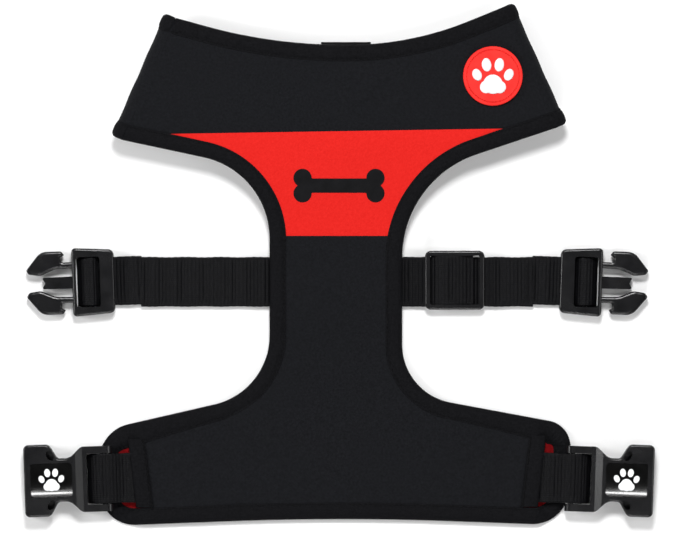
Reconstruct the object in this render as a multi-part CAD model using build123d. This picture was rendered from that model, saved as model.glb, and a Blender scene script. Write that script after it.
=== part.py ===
from build123d import *
import math
import os

# Dog harness vest, laid flat with its front face up. Millimetres, +Z up, +Y towards the neck.
# The origin is at the middle of the bottom of the bounding box.

os.makedirs("parts", exist_ok=True)

# Driving dimensions
WEB = 25.0                 # webbing width
WEB_T = 1.4                # webbing thickness
LAYER_GAP = 0.3            # between two layers of webbing
SHELL = 2.6                # neoprene thickness
LINING = 1.0               # lining thickness
TAPE = 8.5                 # visible width of the binding tape
TAPE_T = 0.4               # thickness of the binding tape
EDGE = 1.2                 # how far the tape stands out past the panel's cut edge
STRAP_Y = -8.0             # middle of the girth strap
SOCKET_Y = -107.3          # middle of the sockets
SPLIT = 62.0               # where the wings fold, either side of the middle
FOLD_GAP = 2.6             # half of the gap that a fold needs in a panel
WEB_GAP = 1.9              # half of the gap that a fold needs in doubled webbing

# Heights of the layers at the neck, from the floor
BACK_Z = 5.8               # underside of the back panel
FRONT_Z = 14.4             # underside of the front layer over the neck

DOUBLE = 2 * WEB_T + LAYER_GAP     # doubled webbing

# The front layer's underside: it rests on the floor at the belly, climbs over the girth strap
# and then over the back collar. Pairs of Y and Z.
LAY = [
    (-135, 0.4), (-70, 0.4), (-45, 1.5), (-24, 4.8), (8, 4.8), (25, 6.5), (50, 11.5),
    (68, FRONT_Z), (150, FRONT_Z),
]

# Front outline, with the shoulders drawn long, and the radius of each corner
FRONT = [
    ((-118, 134.8), 3), ((-33, 111.4), 260), ((36, 111.4), 160), ((116.5, 144.1), 3),
    ((145, 81.6), 3), ((31.8, 43.7), 55), ((31.8, -64.5), 30), ((117.3, -80.4), 13),
    ((115.5, -131), 18), ((0, -126.8), 1500), ((-119.8, -131.4), 17), ((-121.9, -83.6), 19),
    ((-35, -63.6), 36), ((-35, 47.7), 42), ((-145, 71.2), 3),
]
# Back collar outline, drawn in the same way
BACK = [
    ((-118, 130.5), 3), ((-33, 108.2), 260), ((36, 108.2), 160), ((116.5, 140.2), 3),
    ((145, 86.5), 3), ((45, 51), 60), ((4, 42.5), 60), ((-38, 49.5), 60), ((-145, 75.5), 3),
]
# Silhouette of the shoulder folds, top and bottom of each
LEFT_FOLD = ((-90.4, 121.2), (-111.6, 72.7))
RIGHT_FOLD = ((90.9, 125.2), (113.4, 74.7))
FOLD_R = (FRONT_Z + LINING + SHELL - BACK_Z) / 2
FOLD_BORE = FOLD_R - SHELL - LINING
FOLD_AXIS_Z = BACK_Z + FOLD_R

BAND_LOW, BAND_HIGH = 15.2, 67.8           # the red band across the chest
POCKET = {-1: (-99.0, -94.4, -103.0), 1: (96.7, 92.4, 103.0)}      # seam at top, at bottom; outer edge
POCKET_Y = (-86.5, -122.7)


def block(x0, x1, y0, y1, z0, z1):
    return Pos((x0 + x1) / 2, (y0 + y1) / 2, (z0 + z1) / 2) * Box(abs(x1 - x0), abs(y1 - y0), abs(z1 - z0))


def polygon(points):
    return make_face(Polyline(*points, close=True))


def rounded(corners):
    """A closed outline from corner points, each with its own radius."""
    points = [point for point, radius in corners]
    radii = [radius for point, radius in corners]
    return make_face(FilletPolyline(*points, radius=radii, close=True))


def prism(face, z0, z1):
    """A flat outline raised from z0 to z1."""
    return extrude(Pos(0, 0, z0) * face, amount=z1 - z0, dir=(0, 0, 1))


def upright(points, y0, y1):
    """An outline in X and Z, drawn out along Y."""
    face = make_face(Plane.XZ * Polyline(*points, close=True))
    return extrude(Pos(0, y1, 0) * face, amount=y1 - y0, dir=(0, -1, 0))


def layer(low, high):
    """The sheet of space between two heights above the front layer's underside."""
    under = [(y, z + low) for y, z in LAY]
    over = [(y, z + high) for y, z in reversed(LAY)]
    face = make_face(Plane.YZ * Polyline(*under, *over, close=True))
    return extrude(Pos(-150, 0, 0) * face, amount=300, dir=(1, 0, 0))


def ribbon(path, width, middle=0.0, thickness=WEB_T):
    """Webbing that follows a centre line in X and Z, with mitred bends."""
    points = [Vector(x, 0, z) for x, z in path]
    over = []
    under = []
    for i, point in enumerate(points):
        before = points[max(i - 1, 0)]
        after = points[min(i + 1, len(points) - 1)]
        ahead = (after - point).normalized() if i < len(points) - 1 else (point - before).normalized()
        behind = (point - before).normalized() if i > 0 else ahead
        along = (ahead + behind).normalized()
        reach = thickness / 2 / along.dot(ahead)
        side = Vector(-along.Z, 0, along.X) * reach
        over.append(((point + side).X, (point + side).Z))
        under.append(((point - side).X, (point - side).Z))
    return upright(over + under[::-1], middle - width / 2, middle + width / 2)


def save(shape, name):
    export_step(shape if isinstance(shape, Compound) else Compound(children=[shape]), f"parts/{name}.step")


def group(*shapes):
    return Compound(children=[solid for shape in shapes for solid in shape.solids()])


def inside(fold, side):
    """The two points of a shoulder fold's axis, one radius inside its silhouette."""
    (x0, y0), (x1, y1) = fold
    length = math.hypot(x1 - x0, y1 - y0)
    normal = ((y0 - y1) / length * -side, (x1 - x0) / length * side)
    return [(x + normal[0] * FOLD_R, y + normal[1] * FOLD_R) for x, y in fold]


def reach_to(line, y):
    """X of a straight line through two points, at the given Y."""
    (x0, y0), (x1, y1) = line
    return x0 + (x1 - x0) * (y - y0) / (y1 - y0)


# ---------------------------------------------------------------- outlines shared by the fabric

left_axis = inside(LEFT_FOLD, -1)
right_axis = inside(RIGHT_FOLD, 1)
TRIM_Y = 59.0
trim = polygon([
    (reach_to(left_axis, 150), 150), (reach_to(left_axis, TRIM_Y), TRIM_Y), (-135, TRIM_Y), (-135, -140),
    (135, -140), (135, TRIM_Y), (reach_to(right_axis, TRIM_Y), TRIM_Y), (reach_to(right_axis, 150), 150),
])
front = rounded(FRONT)
front_cut = offset(front, amount=-EDGE)
front_inner = offset(front, amount=-TAPE)
back = rounded(BACK)
back_cut = offset(back, amount=-EDGE)
back_inner = offset(back, amount=-TAPE)

panel_space = prism(front_cut & trim, -1, 30)
band_space = prism((front - front_inner) & trim, -1, 30)
cloth = layer(0, LINING + SHELL)
middle_part = block(-SPLIT + FOLD_GAP, SPLIT - FOLD_GAP, -140, 150, -1, 30)
middle_part += block(-140, 140, -60, 150, -1, 30)


# ---------------------------------------------------------------- front layer

def front_shell():
    shell = panel_space & layer(LINING, LINING + SHELL) & middle_part
    bands = {
        "neck_panel": block(-140, 140, BAND_HIGH, 150, -1, 30),
        "chest_band": block(-140, 140, BAND_LOW, BAND_HIGH, -1, 30),
        "body_panel": block(-140, 140, -140, BAND_LOW, -1, 30),
    }
    for name, space in bands.items():
        save(shell & space, name)
    save(panel_space & layer(0, LINING) & middle_part, "front_lining")


def front_bindings():
    tape = band_space & layer(-TAPE_T, LINING + SHELL + TAPE_T) & middle_part
    tape -= prism(front_cut, -1, 30) & cloth
    save(tape & block(-140, 140, 95, 150, -1, 30), "front_neck_binding")
    save(tape & block(-140, 0, -100, 95, -1, 30), "left_side_binding")
    save(tape & block(0, 140, -100, 95, -1, 30), "right_side_binding")
    save(tape & block(-140, 140, -140, -100, -1, 30), "belly_binding")


def shoulder_fold(fold, axis, name):
    """The half tube where the front layer turns over to the back."""
    (x0, y0), (x1, y1) = axis
    length = math.hypot(x1 - x0, y1 - y0)
    run = Vector(x1 - x0, y1 - y0, 0).normalized()
    out = Vector((fold[0][0] - x0), (fold[0][1] - y0), 0).normalized()
    plane = Plane(origin=(x0, y0, FOLD_AXIS_Z), x_dir=out, z_dir=run)
    half = Circle(FOLD_R) - Circle(FOLD_BORE)
    half &= Pos(FOLD_R, 0) * Rectangle(2 * FOLD_R, 3 * FOLD_R)
    save(extrude(plane * half, amount=length), name)


# ---------------------------------------------------------------- back collar and back webbing

DORSAL_X = 3.5             # middle of the dorsal webbing
DORSAL_Z = 3.9             # underside of the dorsal webbing at the neck
CROSS_Z = DOUBLE + 0.1     # underside of the dorsal webbing over the girth strap
DORSAL = [(113.1, DORSAL_Z), (40, DORSAL_Z), (12, CROSS_Z), (-20.5, CROSS_Z)]
RING_Y = 88.0              # the lead ring's bar
RING_Z = 2.2
RING_WIRE = 1.4            # radius of the ring's wire
RING_HALF = 14.5           # from the middle to the wire's centre line
RING_DEPTH = 20.5          # from the bar to the far side, centre lines


def back_collar():
    cloth_z = BACK_Z + SHELL
    shell = prism(back_cut & trim, BACK_Z, cloth_z)
    save(shell & block(-140, DORSAL_X, 0, 150, -1, 30), "left_back_panel")
    save(shell & block(DORSAL_X, 140, 0, 150, -1, 30), "right_back_panel")
    save(prism(back_cut & trim, cloth_z, cloth_z + LINING), "back_lining")
    tape = prism((back - back_inner) & trim, BACK_Z - TAPE_T, cloth_z + LINING + TAPE_T)
    tape -= prism(back_cut, BACK_Z, cloth_z + LINING)
    save(tape & block(-140, 140, 92, 150, -1, 30), "back_neck_binding")
    save(tape & block(-140, DORSAL_X, 0, 92, -1, 30), "left_back_lower_binding")
    save(tape & block(DORSAL_X, 140, 0, 92, -1, 30), "right_back_lower_binding")


def back_webbing():
    over = [(y, z + WEB_T) for y, z in DORSAL]
    face = make_face(Plane.YZ * Polyline(*DORSAL, *over[::-1], close=True))
    save(extrude(Pos(DORSAL_X - WEB / 2, 0, 0) * face, amount=WEB, dir=(1, 0, 0)), "dorsal_strap")
    layers = [block(GIRTH_LEFT, GIRTH_RIGHT, STRAP_Y - WEB / 2, STRAP_Y + WEB / 2, z, z + WEB_T)
              for z in (0, WEB_T + LAYER_GAP)]
    save(group(*layers), "girth_strap")


def lead_ring():
    """A D-ring: straight bar through the tab, round bow towards the tail."""
    bow = RING_HALF
    left = DORSAL_X - RING_HALF
    right = DORSAL_X + RING_HALF
    low = RING_Y - RING_DEPTH
    path = FilletPolyline(
        (DORSAL_X, RING_Y), (right, RING_Y), (right, low), (left, low), (left, RING_Y),
        (DORSAL_X - 0.01, RING_Y), radius=[2.5, bow * 0.9, bow * 0.9, 2.5],
    )
    path = Pos(0, 0, RING_Z) * path
    wire = sweep(Plane(origin=(DORSAL_X, RING_Y, RING_Z), z_dir=(1, 0, 0)) * Circle(RING_WIRE), path=path)
    save(wire, "lead_ring")


def ring_tab():
    """Thin webbing under the ring's bar, sewn to the dorsal webbing either side of it."""
    tab_t = 0.6
    top = DORSAL_Z
    path = [(9, top), (3, tab_t), (-3, tab_t), (-9, top)]
    low = [(9, top - tab_t), (3, 0), (-3, 0), (-9, top - tab_t)]
    points = [(RING_Y + y, z) for y, z in path + low[::-1]]
    face = make_face(Plane.YZ * Polyline(*points, close=True))
    save(extrude(Pos(DORSAL_X - 10, 0, 0) * face, amount=20, dir=(1, 0, 0)), "ring_tab")


# ---------------------------------------------------------------- badge

BADGE = (77.5, 95.7)
BADGE_R = 15.0
BADGE_T = 2.0
EMBLEM_T = 0.9
PAW_PAD = [(0, -4.2, 4.9), (-3.4, -5.6, 3.2), (3.4, -5.6, 3.2)]
PAW_TOES = [
    (-8.0, 0.6, 2.3, 3.1, 25), (-3.2, 5.6, 2.4, 3.4, 8),
    (3.2, 5.6, 2.4, 3.4, -8), (8.0, 0.6, 2.3, 3.1, -25),
]


def paw(scale=1.0):
    """A paw print: one pad of three merged rounds, and four toes."""
    pad = Sketch()
    for x, y, r in PAW_PAD:
        pad += Pos(x * scale, y * scale) * Circle(r * scale)
    toes = [Pos(x * scale, y * scale) * Rot(0, 0, turn) * Ellipse(rx * scale, ry * scale)
            for x, y, rx, ry, turn in PAW_TOES]
    return [pad, *toes]


def badge():
    top = FRONT_Z + LINING + SHELL
    disc = Pos(*BADGE, top + BADGE_T / 2) * Cylinder(BADGE_R, BADGE_T)
    disc = fillet(disc.edges().group_by(Axis.Z)[-1], 0.7)
    groove = Circle(BADGE_R - 1.5) - Circle(BADGE_R - 2.1)
    disc -= prism(Pos(*BADGE) * groove, top + BADGE_T - 0.4, top + BADGE_T + 1)
    save(disc, "badge_disc")
    prints = [prism(Pos(*BADGE) * face, top + BADGE_T, top + BADGE_T + EMBLEM_T) for face in paw()]
    save(group(*prints), "badge_emblem")


# ---------------------------------------------------------------- wings

def wing(side, name):
    """One belly wing beyond its fold line: panel, lining, edge tape, and the taped pocket end."""
    seam_top, seam_low, outer = POCKET[side]
    slope = (seam_low - seam_top) / (POCKET_Y[1] - POCKET_Y[0])
    high_y, low_y = -60.0, -140.0
    seam_high = seam_top + slope * (high_y - POCKET_Y[0])
    seam_end = seam_top + slope * (low_y - POCKET_Y[0])
    start = side * (SPLIT + FOLD_GAP)
    body = polygon([(start, high_y), (seam_high, high_y), (seam_end, low_y), (start, low_y)])
    tape = polygon([(seam_high, high_y), (outer, high_y), (outer, low_y), (seam_end, low_y)])
    whole = block(start, side * 140, low_y, high_y, -1, 30)
    low = LAY[0][1]
    top = low + LINING + SHELL
    save(prism(front_cut & body, low + LINING, top), f"{name}_wing_panel")
    save(prism(front_cut, low, low + LINING) & whole, f"{name}_wing_lining")
    save(prism(front_inner & tape, low + LINING, top + TAPE_T), f"{name}_pocket_binding")
    rim = prism(front - front_inner, 0, top + TAPE_T) & block(start, outer, low_y, high_y, -1, 30)
    rim += prism(front - front_inner, 0, RIM_Z) & whole
    rim -= prism(front_cut, low, low + LINING)
    rim -= prism(front_cut & body, low + LINING, top)
    save(rim, f"{name}_wing_binding")


RIM_Z = 2.3                # top of the wing's rim where the webbing crosses it

# ---------------------------------------------------------------- sockets, in a frame of their own
# Along +X from the rear bar's axis to the mouth, Y across, Z up from the floor.

BAR_X = 117.3              # rear bar, from the middle of the vest
BAR_Z = 5.6
BAR_R = 1.5
SOCKET_TILT = 2.0          # both sockets droop a little, mouth down
MOUTH = 41.6
SOCKET_H = 11.0
MOUTH_HALF = 18.2
WAIST_HALF = 10.9
FRAME_HALF = 16.5
SLOT_HALF = 12.9           # half of the webbing slot's length
SLOT_END = 9.9
TUNNEL_HALF = 16.1
TUNNEL_H = 6.6
LABEL = (17.4, 38.2)       # label recess, from and to
LABEL_HALF = 8.4
RECESS = 1.0
PRESS_AT = (28.2, 12.4)    # oval openings over the latches, at the mouth's shoulders
PRESS_HALF = (1.7, 2.7)
PRESS_TURN = 30.0


def socket_body():
    half = [
        ((-3.2, FRAME_HALF), 0), ((12.6, FRAME_HALF), 3.5), ((18.6, WAIST_HALF), 6),
        ((24.6, WAIST_HALF), 2.5), ((28.8, MOUTH_HALF), 3), ((MOUTH, MOUTH_HALF), 2.5),
    ]
    other = [((x, -y), r) for (x, y), r in half]
    plan = rounded(half + other[::-1])
    thin = 3.0
    profile = [
        (-3.2, BAR_Z - thin), (9.5, BAR_Z - thin), (14.5, 0), (MOUTH, 0),
        (MOUTH, SOCKET_H), (15.5, SOCKET_H), (12.0, BAR_Z + thin), (-3.2, BAR_Z + thin),
    ]
    body = prism(plan, 0, SOCKET_H)
    body = fillet(body.edges().group_by(Axis.Z)[-1] + body.edges().group_by(Axis.Z)[0], 1.1)
    body &= upright(profile, -30, 30)
    body -= block(-10, SLOT_END, -SLOT_HALF, SLOT_HALF, -1, 20)
    back_end = block(-10, 0, -30, 30, -1, 20) - Pos(0, 0, BAR_Z) * Rot(90, 0, 0) * Cylinder(thin, 80)
    body -= back_end
    body += Pos(0, 0, BAR_Z) * Rot(90, 0, 0) * Cylinder(BAR_R, 2 * SLOT_HALF + 2)
    mid = SOCKET_H / 2
    tunnel = rounded([((15.5, -TUNNEL_HALF), 2), ((MOUTH + 5, -TUNNEL_HALF), 0.5),
                      ((MOUTH + 5, TUNNEL_HALF), 0.5), ((15.5, TUNNEL_HALF), 2)])
    body -= prism(tunnel, mid - TUNNEL_H / 2, mid + TUNNEL_H / 2)
    body -= prism(label_plan(0.2), SOCKET_H - RECESS, SOCKET_H + 1)
    x, y = PRESS_AT
    for side in (-1, 1):
        oval = Rot(0, 0, -side * PRESS_TURN) * Ellipse(*PRESS_HALF)
        body -= extrude(Pos(x, side * y, mid) * oval, amount=SOCKET_H)
    return body


def label_plan(grow):
    low, high = LABEL
    reach = LABEL_HALF + grow
    return rounded([((low - grow, -reach), 2.2), ((high + grow, -reach), 1.2),
                    ((high + grow, reach), 1.2), ((low - grow, reach), 2.2)])


def socket_label():
    """A domed insert in the recess."""
    low = SOCKET_H - RECESS
    high = low + RECESS + 0.5
    dome_r = 62.0
    dome = Pos(sum(LABEL) / 2, 0, high - dome_r) * Rot(0, 90, 0) * Cylinder(dome_r, 60)
    return prism(label_plan(0), low, high) & dome


def socket_strap():
    """Webbing that goes round the rear bar and back to the wing, doubled."""
    inner = BAR_R + 0.3
    outer = inner + WEB_T
    loop = Circle(outer) - Circle(inner)
    loop &= Pos(outer, 0) * Rectangle(2 * outer, 3 * outer)
    bend = extrude(Plane.XZ * loop, amount=WEB, dir=(0, -1, 0))
    bend = Pos(0, WEB / 2, BAR_Z) * bend
    over = [(0, BAR_Z + inner), (0, BAR_Z + outer), (-7.5, 5.4), (-13.8, 4.8), (-13.8, 3.4), (-7.5, 4.0)]
    under = [(0, BAR_Z - outer), (0, BAR_Z - inner), (-7.5, 3.9), (-13.8, 3.3), (-13.8, 1.9), (-7.5, 2.5)]
    legs = [upright(points, -WEB / 2, WEB / 2) for points in (over, under)]
    return bend + legs[0] + legs[1]


def place_socket(shape, side):
    placed = Pos(BAR_X, SOCKET_Y, 0) * Rot(0, 0, -SOCKET_TILT) * shape
    return placed if side > 0 else mirror(placed, about=Plane.YZ)


# ---------------------------------------------------------------- plugs, in a frame of their own
# Along +X from the frame's rear edge to the latch tips, Y across, Z up from the floor.

PLUG_X = {-1: 113.4, 1: 111.6}     # the frame's rear edge, from the middle of the vest
PLUG_Y = -7.6
PLUG_TILT = 2.0
PLUG_H = 7.5
PLUG_LONG = 21.3
REAR_HALF = 16.0
FRONT_HALF = 17.4
WINDOW = (7.2, 19.4)
WINDOW_HALF = 12.7
CROSSBAR = (11.0, 14.0)
CROSSBAR_TOP = 5.0
LATCH_Z = (1.5, 6.1)
PIVOT = (1.9, 8.8)         # latch root, ahead of the frame and off the middle
FLEX = 4.6                 # the webbing bends this far behind the plug
HUMP = 24.4                # webbing width where it passes through a window


def plug_frame():
    plan = rounded([
        ((0, -REAR_HALF), 3), ((PLUG_LONG, -FRONT_HALF), 2),
        ((PLUG_LONG, FRONT_HALF), 2), ((0, REAR_HALF), 3),
    ])
    frame = prism(plan, 0, PLUG_H)
    frame = fillet(frame.edges().group_by(Axis.Z)[-1] + frame.edges().group_by(Axis.Z)[0], 1.2)
    window = rounded([
        ((WINDOW[0], -WINDOW_HALF), 1.5), ((WINDOW[1], -WINDOW_HALF), 1.5),
        ((WINDOW[1], WINDOW_HALF), 1.5), ((WINDOW[0], WINDOW_HALF), 1.5),
    ])
    frame -= prism(window, -1, 20)
    frame -= block(-1, WINDOW[0] + 0.5, -WINDOW_HALF, WINDOW_HALF, -1, DOUBLE + 0.2)
    frame += block(*CROSSBAR, -WINDOW_HALF - 1, WINDOW_HALF + 1, DOUBLE + 0.3, CROSSBAR_TOP)
    tip = PLUG_LONG + 15.3
    tongue = [
        ((PLUG_LONG - 1, -3.1), 0), ((tip, -2.9), 0.6), ((tip - 1.6, 0), 0.8), ((tip, 2.9), 0.6),
        ((PLUG_LONG - 1, 3.1), 0),
    ]
    frame += prism(rounded(tongue), 2.0, 5.6)
    return frame


def plug_latch():
    """One sprung arm: slim stem, then a pad with its shoulder and barb."""
    x, y = PIVOT
    arm = rounded([
        ((x, y - 1.45), 0), ((8.6, 7.0), 6), ((16.2, 3.8), 4), ((21.8, 4.6), 1.2), ((23.3, 6.6), 0.8),
        ((15.6, 16.0), 7), ((5.2, 15.9), 1.2), ((3.7, 13.9), 0.2), ((5.9, 12.8), 0.6),
        ((5.3, y + 1.45), 1.0), ((x, y + 1.45), 0),
    ])
    arm += Pos(x, y) * Circle(1.45)
    latch = prism(arm, *LATCH_Z)
    pads = latch.edges().filter_by(lambda e: e.bounding_box().min.X > 5.4 and e.bounding_box().size.Z < 0.01)
    return Pos(PLUG_LONG, 0, 0) * fillet(pads, 0.5)


def plug_webbing():
    """Doubled webbing under the rear bar, the upper layer humped over the crossbar."""
    start = -FLEX + WEB_GAP
    low = WEB_T / 2
    high = low + WEB_T + LAYER_GAP
    peak = CROSSBAR_TOP + WEB_T / 2 + 0.1
    path = [
        (start, high), (8.1, high), (10.2, peak), (14.6, peak), (16.4, low + 1.2), (14.2, low), (start, low),
    ]
    return ribbon(path, HUMP)


def place_plug(shape, side):
    placed = Pos(PLUG_X[side], PLUG_Y, 0) * Rot(0, 0, -PLUG_TILT) * shape
    return placed if side > 0 else mirror(placed, about=Plane.YZ)


# ---------------------------------------------------------------- straps and slider

STRAP_FOLD = -40.0         # where the left strap folds beside the vest
GIRTH_LEFT = STRAP_FOLD + WEB_GAP
GIRTH_RIGHT = 3.0
STRAP_IN = 22.0            # hidden inner end of the right strap
TACK = (94.0, 103.0)       # the right strap's sewn end
SLIDER_X = (43.4, 73.5)
SLIDER_Y = -7.2
SLIDER_HALF = 14.9
SLIDER_Z = (3.4, 6.4)
SLIDER_RAIL = 2.5
SLIDER_BAR = (54.5, 57.5)
RETURN_IN = 13.0           # hidden inner end of the webbing that the slider carries


def strap_layers(x0, x1):
    high = WEB_T + LAYER_GAP
    y0, y1 = STRAP_Y - WEB / 2, STRAP_Y + WEB / 2
    return block(x0, x1, y0, y1, 0, WEB_T), block(x0, x1, y0, y1, high, high + WEB_T)


def straps():
    left_end = -(PLUG_X[-1] - FLEX) + WEB_GAP
    save(group(*strap_layers(left_end, STRAP_FOLD - WEB_GAP)), "left_strap_run")
    right_end = PLUG_X[1] - FLEX - WEB_GAP
    run = strap_layers(STRAP_IN, right_end)[1]
    sewn = strap_layers(TACK[0], right_end)[0]
    stitches = block(*TACK, STRAP_Y - WEB / 2 + 2, STRAP_Y + WEB / 2 - 2, WEB_T, WEB_T + LAYER_GAP)
    save(run + sewn + stitches, "right_strap_run")


def strap_slider():
    x0, x1 = SLIDER_X
    plan = rounded([
        ((x0, SLIDER_Y - SLIDER_HALF), 3), ((x1, SLIDER_Y - SLIDER_HALF), 3),
        ((x1, SLIDER_Y + SLIDER_HALF), 3), ((x0, SLIDER_Y + SLIDER_HALF), 3),
    ])
    frame = prism(plan, *SLIDER_Z)
    frame = fillet(frame.edges().group_by(Axis.Z)[-1] + frame.edges().group_by(Axis.Z)[0], 1.0)
    reach = SLIDER_HALF - SLIDER_RAIL
    window = rounded([
        ((x0 + SLIDER_RAIL, SLIDER_Y - reach), 1), ((x1 - SLIDER_RAIL, SLIDER_Y - reach), 1),
        ((x1 - SLIDER_RAIL, SLIDER_Y + reach), 1), ((x0 + SLIDER_RAIL, SLIDER_Y + reach), 1),
    ])
    frame -= prism(window, 0, 20)
    frame += block(*SLIDER_BAR, SLIDER_Y - reach - 1, SLIDER_Y + reach + 1, SLIDER_Z[0], SLIDER_Z[0] + 1.7)
    return frame


def slider_webbing():
    """The hump over the slider's bar, and the lower layer that goes back behind the vest."""
    peak = SLIDER_Z[0] + 1.8 + WEB_T / 2
    low = WEB_T / 2
    hump_low = SLIDER_Z[0] + WEB_T / 2
    hump = [(47.2, hump_low), (51.5, peak), (60.0, peak), (66.5, hump_low)]
    back_layer = block(RETURN_IN, 66.5, STRAP_Y - WEB / 2, STRAP_Y + WEB / 2, 0, 2 * low)
    return group(ribbon(hump, HUMP - 0.2, SLIDER_Y), back_layer)


# ---------------------------------------------------------------- build everything

front_shell()
front_bindings()
shoulder_fold(LEFT_FOLD, left_axis, "left_shoulder_fold")
shoulder_fold(RIGHT_FOLD, right_axis, "right_shoulder_fold")
back_collar()
back_webbing()
lead_ring()
ring_tab()
badge()
straps()
save(strap_slider(), "strap_slider")
save(slider_webbing(), "slider_webbing")
for side, name in ((-1, "left"), (1, "right")):
    wing(side, name)
    save(place_socket(socket_body(), side), f"{name}_socket_shell")
    save(place_socket(socket_label(), side), f"{name}_socket_label")
    save(place_socket(socket_strap(), side), f"{name}_socket_strap")
    save(place_plug(plug_frame(), side), f"{name}_plug_frame")
    save(place_plug(plug_webbing(), side), f"{name}_plug_webbing")
    save(place_plug(plug_latch(), side), f"{name}_upper_latch")
    save(place_plug(mirror(plug_latch(), about=Plane.XZ), side), f"{name}_lower_latch")
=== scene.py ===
import math

import bpy
import numpy as np
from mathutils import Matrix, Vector
from mathutils.geometry import delaunay_2d_cdt


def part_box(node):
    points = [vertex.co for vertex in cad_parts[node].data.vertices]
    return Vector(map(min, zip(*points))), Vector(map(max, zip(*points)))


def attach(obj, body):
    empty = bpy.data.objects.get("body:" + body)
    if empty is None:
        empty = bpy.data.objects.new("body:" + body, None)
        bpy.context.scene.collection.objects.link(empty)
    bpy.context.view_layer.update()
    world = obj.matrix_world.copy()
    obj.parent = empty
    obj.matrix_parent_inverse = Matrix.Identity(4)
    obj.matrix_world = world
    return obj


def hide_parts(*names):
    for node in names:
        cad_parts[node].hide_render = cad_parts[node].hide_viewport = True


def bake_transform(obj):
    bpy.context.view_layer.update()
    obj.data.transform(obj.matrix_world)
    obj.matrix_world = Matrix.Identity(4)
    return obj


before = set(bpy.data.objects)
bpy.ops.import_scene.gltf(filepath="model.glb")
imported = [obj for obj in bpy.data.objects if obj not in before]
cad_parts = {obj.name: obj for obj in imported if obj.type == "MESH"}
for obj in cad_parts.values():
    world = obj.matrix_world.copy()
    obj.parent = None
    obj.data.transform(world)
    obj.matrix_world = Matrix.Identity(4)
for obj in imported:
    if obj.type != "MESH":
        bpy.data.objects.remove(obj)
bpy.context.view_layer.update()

# All shapes below are worked out in millimetres and turned into metres when a mesh is made.
MM = 0.001

# ------------------------------------------------------------ sizes of the object

WEB = 25.0                 # webbing: width and thickness
WEB_T = 1.4
SHELL = 2.6                # thicknesses of the neoprene and its lining
LINING = 1.0
TAPE = 8.3                 # how far the binding tape reaches in from an edge
STRAP_Y = -8.0             # middle of the girth strap
DORSAL_X = 3.5             # middle of the strap down the back
SEAM_X = 50.0              # where the wing pieces join the middle, inside of the fold
WING_FOLD_X = 62.0         # the wings bend here
WING_FLEX = 2.6            # and this far to either side
WINGS_BELOW = -60.0        # Y under which there are wings
SHOULDERS_ABOVE = 50.0     # Y over which the front reaches the shoulder folds
FRONT_Z = 14.4             # underside of the front layer at the chest
BACK_Z = 5.8               # underside of the back collar
FOLD_R = (FRONT_Z + LINING + SHELL - BACK_Z) / 2
FOLD_AXIS_Z = BACK_Z + FOLD_R

# The front layer's underside: Y and height.
LAY = [
    (-135, 0.4), (-70, 0.4), (-45, 1.5), (-24, 4.8), (8, 4.8), (25, 6.5), (50, 11.5), (68, FRONT_Z),
    (150, FRONT_Z),
]
BAND_LOW = (15.2, 0.0)     # the red band's edges: height at the middle, and slope
BAND_HIGH = (67.9, 0.0158)

# Outlines as corners, each with the radius of its arc.
NECK = [((-118, 134.8), 0), ((-33, 111.4), 260), ((36, 111.4), 160), ((116.5, 144.1), 0)]
LOWER = [
    ((-145, 71.2), 0), ((-35, 47.7), 42), ((-35, -63.6), 36), ((-121.9, -83.6), 19), ((-119.8, -131.4), 17),
    ((0, -126.8), 1500), ((115.5, -131), 18), ((117.3, -80.4), 13), ((31.8, -64.5), 30), ((31.8, 43.7), 55),
    ((145, 81.6), 0),
]
BACK_NECK = [((-118, 130.5), 0), ((-33, 108.2), 260), ((36, 108.2), 160), ((116.5, 140.2), 0)]
BACK_LOWER = [((-145, 75.5), 0), ((-38, 49.5), 60), ((4, 42.5), 60), ((45, 51), 60), ((145, 86.5), 0)]

# From here on, -1 stands for the left side and 1 for the right.
NAMES = {-1: "left", 1: "right"}
FOLDS = {-1: ((-90.4, 121.2), (-111.6, 72.7)), 1: ((90.9, 125.2), (113.4, 74.7))}
POCKET = {-1: (-99.0, -94.4), 1: (96.7, 92.4)}     # X of the pocket's seam at its two ends
POCKET_Y = (-86.5, -122.7)
POCKET_WIDE = 7.9

BAR_X = 117.3              # the sockets' rear bars
SOCKET_Y = -107.3
LABEL_X = (17.4, 38.2)     # a label's two ends, from the rear bar
LABEL_DOME = 62.0          # radius of its domed top
PLUG_X = {-1: 113.4, 1: 111.6}
PLUG_Y = -7.6
PLUG_LONG = 21.3           # length of a plug's frame
TILT = math.radians(2.0)   # how far the buckles lie askew
BADGE = (77.5, 95.7)
BADGE_R = 15.0
UP = np.array([0, 0, 1.0])


# ------------------------------------------------------------ plane geometry

def rounded_path(corners, step=1.2):
    """Points along straight runs joined by arcs, from corners that each have a radius."""
    points = [np.array(corners[0][0], float)]
    for i in range(1, len(corners) - 1):
        before, here, after = (np.array(corners[j][0], float) for j in (i - 1, i, i + 1))
        u = (before - here) / np.linalg.norm(before - here)
        v = (after - here) / np.linalg.norm(after - here)
        half = math.acos(np.clip(u @ v, -1, 1)) / 2
        radius = corners[i][1]
        reach = radius / math.tan(half)
        centre = here + (u + v) / np.linalg.norm(u + v) * radius / math.sin(half)
        start, end = here + u * reach - centre, here + v * reach - centre
        a0 = math.atan2(start[1], start[0])
        turn = (math.atan2(end[1], end[0]) - a0 + math.pi) % (2 * math.pi) - math.pi
        for k in np.linspace(0, 1, max(3, int(abs(turn) * radius / step))):
            points.append(centre + radius * np.array([math.cos(a0 + turn * k), math.sin(a0 + turn * k)]))
    points.append(np.array(corners[-1][0], float))
    return np.array(points)


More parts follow.
